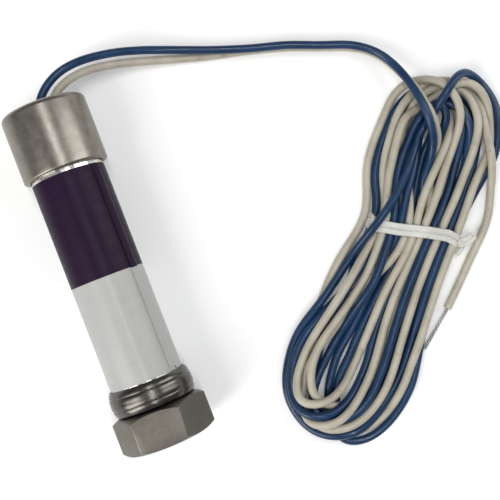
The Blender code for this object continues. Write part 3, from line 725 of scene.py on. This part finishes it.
def stripped_end(name, route):
    """Bare end of a stranded conductor: seven fine wires laid round each other."""
    line = even_line([(*p, 0.0) for p in route], 0.5)[:, :3]
    along = np.gradient(line, axis=0)
    along /= np.linalg.norm(along, axis=1)[:, None]
    level = np.cross(along, (0, 0, 1.0))
    level /= np.linalg.norm(level, axis=1)[:, None]
    upright = np.cross(level, along)
    travel = np.concatenate([[0], np.cumsum(np.linalg.norm(np.diff(line, axis=0), axis=1))])
    strand = CONDUCTOR_RADIUS / MM / 3
    curve = bpy.data.curves.new(name, "CURVE")
    curve.dimensions = "3D"
    curve.bevel_depth = strand * MM
    curve.bevel_resolution = 1
    curve.use_fill_caps = True
    for k in range(7):
        path = line
        if k:
            angle = travel * 2 * math.pi / 9.0 + k * math.pi / 3
            path = line + (level * np.cos(angle)[:, None] + upright * np.sin(angle)[:, None]) * 2 * strand
        spline = curve.splines.new("POLY")
        spline.points.add(len(path) - 1)
        spline.points.foreach_set("co", np.hstack([path * MM, np.ones((len(path), 1))]).ravel())
        spline.use_smooth = True
    piece = bpy.data.objects.new(name, curve)
    bpy.context.scene.collection.objects.link(piece)
    take(piece)
    bpy.ops.object.convert(target="MESH")
    piece = bpy.context.object
    return settle(piece, name, "tinned_copper", "probe", smooth=60.0)


white_tip = stripped_end("white_conductor", TIP)
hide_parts("stripped_tip")
blue_tip = stripped_end("blue_conductor", blue_end)

# ---------------------------------------------------------------- twist tie
def ribbon(name, path, width, outward, tilt=None, finish="tie_paper"):
    """Flat tie ribbon with two raised halves and a groove between them, along a path in mm."""
    half = width / 2
    section = [(-half, 0.0), (-half, 0.28), (-half + 0.25, 0.50), (-half * 0.55, 0.38), (-0.55, 0.52),
               (-0.30, 0.44), (-0.12, 0.14), (0.12, 0.14), (0.30, 0.44), (0.55, 0.52),
               (half * 0.55, 0.38), (half - 0.25, 0.50), (half, 0.28), (half, 0.0)]
    line = np.array(path, float)
    along = np.gradient(line, axis=0)
    along /= np.linalg.norm(along, axis=1)[:, None]
    out = np.array(outward, float)
    out -= (out * along).sum(1)[:, None] * along
    out /= np.linalg.norm(out, axis=1)[:, None]
    side = np.cross(along, out)
    if tilt is not None:
        turn = np.array(tilt)[:, None]
        out, side = out * np.cos(turn) + side * np.sin(turn), side * np.cos(turn) - out * np.sin(turn)
    points = []
    for p, o, s in zip(line, out, side):
        points += [tuple((p + s * a + o * b) * MM) for a, b in section]
    wide = len(section)
    faces = []
    for i in range(len(line) - 1):
        for j in range(wide):
            k = (j + 1) % wide
            faces.append((i * wide + j, i * wide + k, (i + 1) * wide + k, (i + 1) * wide + j))
    faces.append(tuple(range(wide)))
    faces.append(tuple(reversed(range((len(line) - 1) * wide, len(line) * wide))))
    mesh = bpy.data.meshes.new(name)
    mesh.from_pydata(points, [], faces)
    piece = bpy.data.objects.new(name, mesh)
    bpy.context.scene.collection.objects.link(piece)
    return settle(piece, name, finish, "probe", smooth=50.0)


def tie_hull():
    """Outline of the strands inside the tie, in (v, z), pushed out by their radius."""
    both = np.vstack([white_line, blue_line])
    u = (both[:, :2] - WAIST) @ ALONG
    v = (both[:, :2] - WAIST) @ ACROSS
    inside = (np.abs(u) < 2.4) & (v > TIE_LEFT) & (v < TIE_RIGHT + 1.0) & (both[:, 2] < TIE_TOP - 0.6)
    angles = np.linspace(0, 2 * math.pi, 24, endpoint=False)
    ring = []
    for a, b in zip(v[inside], both[inside, 2]):
        ring += [(a + R * math.cos(t), b + R * math.sin(t)) for t in angles]
    ring = sorted(set((round(a, 3), round(b, 3)) for a, b in ring))

    def half(points):
        chain = []
        for p in points:
            while len(chain) > 1 and ((chain[-1][0] - chain[-2][0]) * (p[1] - chain[-2][1])
                                      - (chain[-1][1] - chain[-2][1]) * (p[0] - chain[-2][0])) <= 0:
                chain.pop()
            chain.append(p)
        return chain[:-1]

    return np.array(half(ring) + half(ring[::-1]))


def make_tie():
    hull = tie_hull()
    closed = np.vstack([hull, hull[:1]])
    travel = np.concatenate([[0], np.cumsum(np.linalg.norm(np.diff(closed, axis=0), axis=1))])
    wanted = np.linspace(0, travel[-1], 121)
    loop = np.stack([np.interp(wanted, travel, closed[:, k]) for k in range(2)], 1)[:-1]
    start = int(np.argmax(loop[:, 0] * 1.0 - np.abs(loop[:, 1] - 3.0) * 0.2))
    loop = np.roll(loop, -start, axis=0)
    loop = np.vstack([loop, loop[:1]])
    middle = loop[:-1].mean(0)
    weights = bell(2.0)
    reach = len(weights) // 2
    ring = np.vstack([loop[-reach - 1:-1], loop[:-1], loop[:reach + 1]])
    loop = np.stack([np.convolve(ring[:, k], weights, "valid") for k in range(2)], 1)
    low = np.maximum(loop[:, 1], 0.06)
    v = loop[:, 0]
    u = np.interp(v, [-15, -5, 5, 12, 17], [3.4, 1.6, -1.0, -2.4, -1.8])
    u = np.where(loop[:, 1] < middle[1], u * 0.4 - 0.4, u)
    flat = WAIST + u[:, None] * ALONG + v[:, None] * ACROSS
    path = np.column_stack([flat, low])
    away = np.gradient(np.column_stack([v, low]), axis=0)
    out = np.column_stack([away[:, 1], -away[:, 0]])
    out /= np.linalg.norm(out, axis=1)[:, None]
    outward = np.column_stack([out[:, :1] * ACROSS, out[:, 1]])
    band = ribbon("twist_tie_band", path, 4.2, outward)
    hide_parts("twist_tie")
    # the twist and its two splayed tails, in (u, v, z) from the end of the loop
    knot = path[0]

    def from_knot(points):
        fine = even_line([(*p, 0.0) for p in points], 0.35)[:, :3]
        return np.column_stack([knot[:2] + fine[:, :1] * ALONG + fine[:, 1:2] * ACROSS,
                                np.maximum(1.1, knot[2] + fine[:, 2])])

    tails = (("twist_tie_tail_upper", [(0.3, -1.2, -0.4), (0.3, 0.4, 0.3), (-0.3, 1.8, 1.0),
                                       (-1.6, 3.0, 1.3), (-3.9, 4.2, 0.9)], -0.8),
             ("twist_tie_tail_lower", [(-0.3, -1.2, 0.2), (-0.2, 0.4, -0.5), (0.7, 1.5, -0.9),
                                       (2.2, 1.5, -1.0), (4.0, 0.8, -1.4)], 0.7))
    for name, points, turn in tails:
        tail = from_knot(points)
        share = np.linspace(0, 1, len(tail))
        ribbon(name, tail, 3.2, np.tile((0.1, 0.1, 1.0), (len(tail), 1)), turn * (share - 0.3))
    turns = np.linspace(0, 3 * math.pi, 40)
    coil = np.column_stack([1.15 * np.cos(turns), 0.3 + 1.6 * turns / turns[-1],
                            0.25 + 1.0 * np.sin(turns)])
    core = np.column_stack([knot[:2] + coil[:, :1] * ALONG + coil[:, 1:2] * ACROSS, knot[2] + coil[:, 2]])
    outward = np.column_stack([np.cos(turns)[:, None] * ALONG, np.sin(turns)])
    ribbon("twist_tie_twist", core, 1.5, outward)


make_tie()


# ---------------------------------------------------------------- cap
def make_cap():
    edge = 1.8 * MM
    lip = 0.7 * MM
    profile = [(CAP_FRONT - 0.05 * MM, TUBE_RADIUS + 0.3 * MM), (CAP_FRONT, TUBE_RADIUS + 0.5 * MM)]
    profile += [(CAP_FRONT, CAP_RADIUS - lip - 0.25 * MM)]
    profile += [(CAP_FRONT - lip + lip * math.cos(math.radians(a)) * 1.0,
                 CAP_RADIUS - lip + lip * math.sin(math.radians(a))) for a in (15, 35, 55, 75, 90)]
    profile += [(CAP_FRONT - 2.4 * MM, CAP_RADIUS), (-0.0480, CAP_RADIUS)]
    profile += quarter(REAR + edge, CAP_RADIUS - edge, edge, 0, 90, 9)
    profile += [(REAR, 11.3 * MM), (REAR + 0.1 * MM, 11.15 * MM), (REAR + 0.9 * MM, 10.35 * MM),
                (-0.0475, 10.35 * MM), (-0.0475, 5.8 * MM), (-0.0455, 5.8 * MM),
                (-0.0455, TUBE_RADIUS + 0.3 * MM)]
    piece = turn_on_lathe(profile)
    settle(piece, "conduit_cap_turned", "cap_steel", "probe", ("conduit_cap",), 24.0)
    cut_thread("conduit_thread", REAR + 0.7 * MM, -0.0476, 9.7 * MM, 0.70 * MM, "cap_steel",
               "probe")


# ---------------------------------------------------------------- label
def wrap_film(name, hem, finish, trim, replaces=()):
    """One print of the film: an edge spun nearly once round the tube, lifted, and spun on for the lap."""
    length = abs(hem - LABEL_CHANGE)
    radius = TUBE_RADIUS + FILM_GAP
    centre = (0, 0, AXIS)
    let_go()
    bpy.ops.mesh.primitive_plane_add(size=length, location=((hem + LABEL_CHANGE) / 2, 0, AXIS + radius))
    piece = bpy.context.object
    take(piece)
    bpy.ops.object.transform_apply(location=True, rotation=True, scale=True)
    edit(piece)
    select_where(piece, "VERT", lambda vert: vert.co.y < 0)
    bpy.ops.mesh.delete(type="VERT")
    bpy.ops.mesh.select_all(action="SELECT")
    bpy.ops.transform.translate(value=(0, -length / 2, 0))
    bpy.ops.mesh.subdivide(number_cuts=FILM_CUTS)
    bpy.ops.mesh.select_all(action="SELECT")
    bpy.ops.transform.rotate(value=LAP_START, orient_axis="X", center_override=centre)
    bpy.ops.mesh.spin(steps=WRAP_STEPS, angle=LAP_GAP - 2 * math.pi, center=centre, axis=(1, 0, 0))
    lift = (radius + FILM_LIFT) / radius
    bpy.ops.mesh.extrude_edges_move(TRANSFORM_OT_translate={"value": (LAP_STEP, 0, 0)})
    bpy.ops.transform.resize(value=(1 - trim / length, lift, lift), center_override=(LABEL_CHANGE, 0, AXIS))
    bpy.ops.transform.rotate(value=-LAP_SLOPE, orient_axis="X", center_override=centre)
    bpy.ops.mesh.spin(steps=LAP_STEPS, angle=-LAP_TURN, center=centre, axis=(1, 0, 0))
    bpy.ops.mesh.select_all(action="SELECT")
    bpy.ops.mesh.normals_make_consistent(inside=False)
    bpy.ops.object.mode_set(mode="OBJECT")
    apply_modifier(piece, "SOLIDIFY", thickness=FILM, offset=1.0)
    return settle(piece, name, finish, "probe", replaces, 40.0)


def make_label():
    """Two prints of one film, wrapped once round the tube and lapped along its right side."""
    wrap_film("wrap_label_dark", LABEL_REAR, "label_dark", 0.35 * MM, ("wrap_label",))
    wrap_film("wrap_label_white", LABEL_FRONT, "label_white", 1.2 * MM)


# ---------------------------------------------------------------- collar and coupling
def make_collar():
    count = 17
    rise, rim, face = 1.15 * MM, 13.2 * MM, 13.35 * MM
    profile = [(SPIGOT_FRONT, SPIGOT_RADIUS - 0.4 * MM), (SPIGOT_FRONT - 0.4 * MM, SPIGOT_RADIUS),
               (0.0519, SPIGOT_RADIUS), (0.0519, 6.8 * MM), (0.0505, 6.8 * MM), (0.0505, SPIGOT_RADIUS),
               (COLLAR_FRONT, SPIGOT_RADIUS), (COLLAR_FRONT, face - 1.6 * MM),
               (COLLAR_FRONT - 0.35 * MM, face - 0.9 * MM)]
    for k in range(count):
        t = 0.06 + 0.94 * k / (count - 1)
        swell = rise * (4 * t * (1 - t)) ** 0.7
        radius = face + (rim - face) * t + swell
        for groove, depth, width in ((0.30, 0.16, 0.03), (0.52, 0.10, 0.022), (0.78, 0.22, 0.03)):
            radius -= depth * MM * math.exp(-((t - groove) / width) ** 2)
        profile.append((COLLAR_FRONT - (COLLAR_FRONT - COLLAR_REAR) * t, radius))
    profile += [(COLLAR_REAR, 12.95 * MM), (COLLAR_REAR + 0.3 * MM, 12.62 * MM),
                (COLLAR_REAR + 2.8 * MM, 12.6 * MM),
                (COLLAR_REAR + 2.8 * MM, 6.7 * MM), (0.0470, 6.7 * MM), (0.0470, SIGHT_RADIUS),
                (SPIGOT_FRONT, SIGHT_RADIUS)]
    piece = turn_on_lathe(profile)
    settle(piece, "front_collar_turned", "collar_steel", "probe", ("front_collar",), 22.0)


def make_coupling():
    """Hex bar faced on the lathe at both ends, bored, and threaded inside."""
    let_go()
    bpy.ops.mesh.primitive_cylinder_add(vertices=6, radius=ACROSS_FLATS / math.sqrt(3), depth=0.026,
                                        location=(0.0532, 0, AXIS), rotation=(0, math.pi / 2, 0))
    bar = bpy.context.object
    take(bar)
    bpy.ops.object.transform_apply(location=True, rotation=True, scale=True)
    # the bar lies on one of its flats
    lowest = min(vert.co.z for vert in bar.data.vertices)
    if abs(lowest - (AXIS - ACROSS_FLATS / 2)) > 0.0002:
        edit(bar)
        bpy.ops.mesh.select_all(action="SELECT")
        bpy.ops.transform.rotate(value=math.radians(30), orient_axis="X", center_override=(0, 0, AXIS))
        bpy.ops.object.mode_set(mode="OBJECT")
    edit(bar)
    select_where(bar, "EDGE", lambda e: abs(bar.data.vertices[e.vertices[0]].co.x
                                            - bar.data.vertices[e.vertices[1]].co.x) > 0.01)
    bpy.ops.mesh.bevel(offset=0.35 * MM, segments=3)
    bpy.ops.object.mode_set(mode="OBJECT")
    widest = ACROSS_FLATS / math.sqrt(3) + 0.4 * MM
    bore = 10.25 * MM
    profile = [(FRONT, 14.3 * MM), (FRONT - 0.12 * MM, 14.55 * MM), (FRONT - 1.25 * MM, widest),
               (NUT_REAR + 1.8 * MM, widest), (NUT_REAR + 0.15 * MM, 13.75 * MM), (NUT_REAR, 13.5 * MM),
               (NUT_REAR, 7.9 * MM), (0.0502, 7.9 * MM), (0.0502, bore), (FRONT - 0.9 * MM, bore),
               (FRONT, 11.1 * MM)]
    blank = turn_on_lathe(profile)
    apply_modifier(blank, "BOOLEAN", operation="INTERSECT", solver="EXACT", object=bar)
    bpy.data.objects.remove(bar, do_unlink=True)
    apply_modifier(blank, "BEVEL", width=0.12 * MM, segments=2, limit_method="ANGLE",
                   angle_limit=math.radians(20))
    settle(blank, "hex_coupling_nut", "coupling_steel", "coupling", ("hex_coupling",), 20.0)
    cut_thread("pipe_thread", 0.0503, FRONT - 0.7 * MM, 9.4 * MM, 0.90 * MM, "coupling_steel",
               "coupling")


make_cap()
make_label()
make_collar()
make_coupling()

# ---------------------------------------------------------------- finishes of the carried-over nodes
NODE_FINISH = {
    "body_tube": "tube_steel", "snap_ring": "ring_steel", "window_gasket": "black_rubber",
    "quartz_window": "quartz", "window_retainer": "nickel", "lead_grommet": "black_rubber",
    "potting_plug": "potting_resin", "splice_blue": "nickel", "splice_white": "nickel",
    "pin_left": "nickel", "pin_right": "nickel", "electrode_left": "nickel",
    "electrode_right": "nickel", "tube_base": "moulded_base", "glass_envelope": "clear_glass",
    "insulating_sleeve": "insulating_board", "cushion_rear": "black_rubber",
    "cushion_front": "black_rubber",
}
for node, finish in NODE_FINISH.items():
    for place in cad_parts[node].material_slots:
        place.material = FINISH[finish]

let_go()
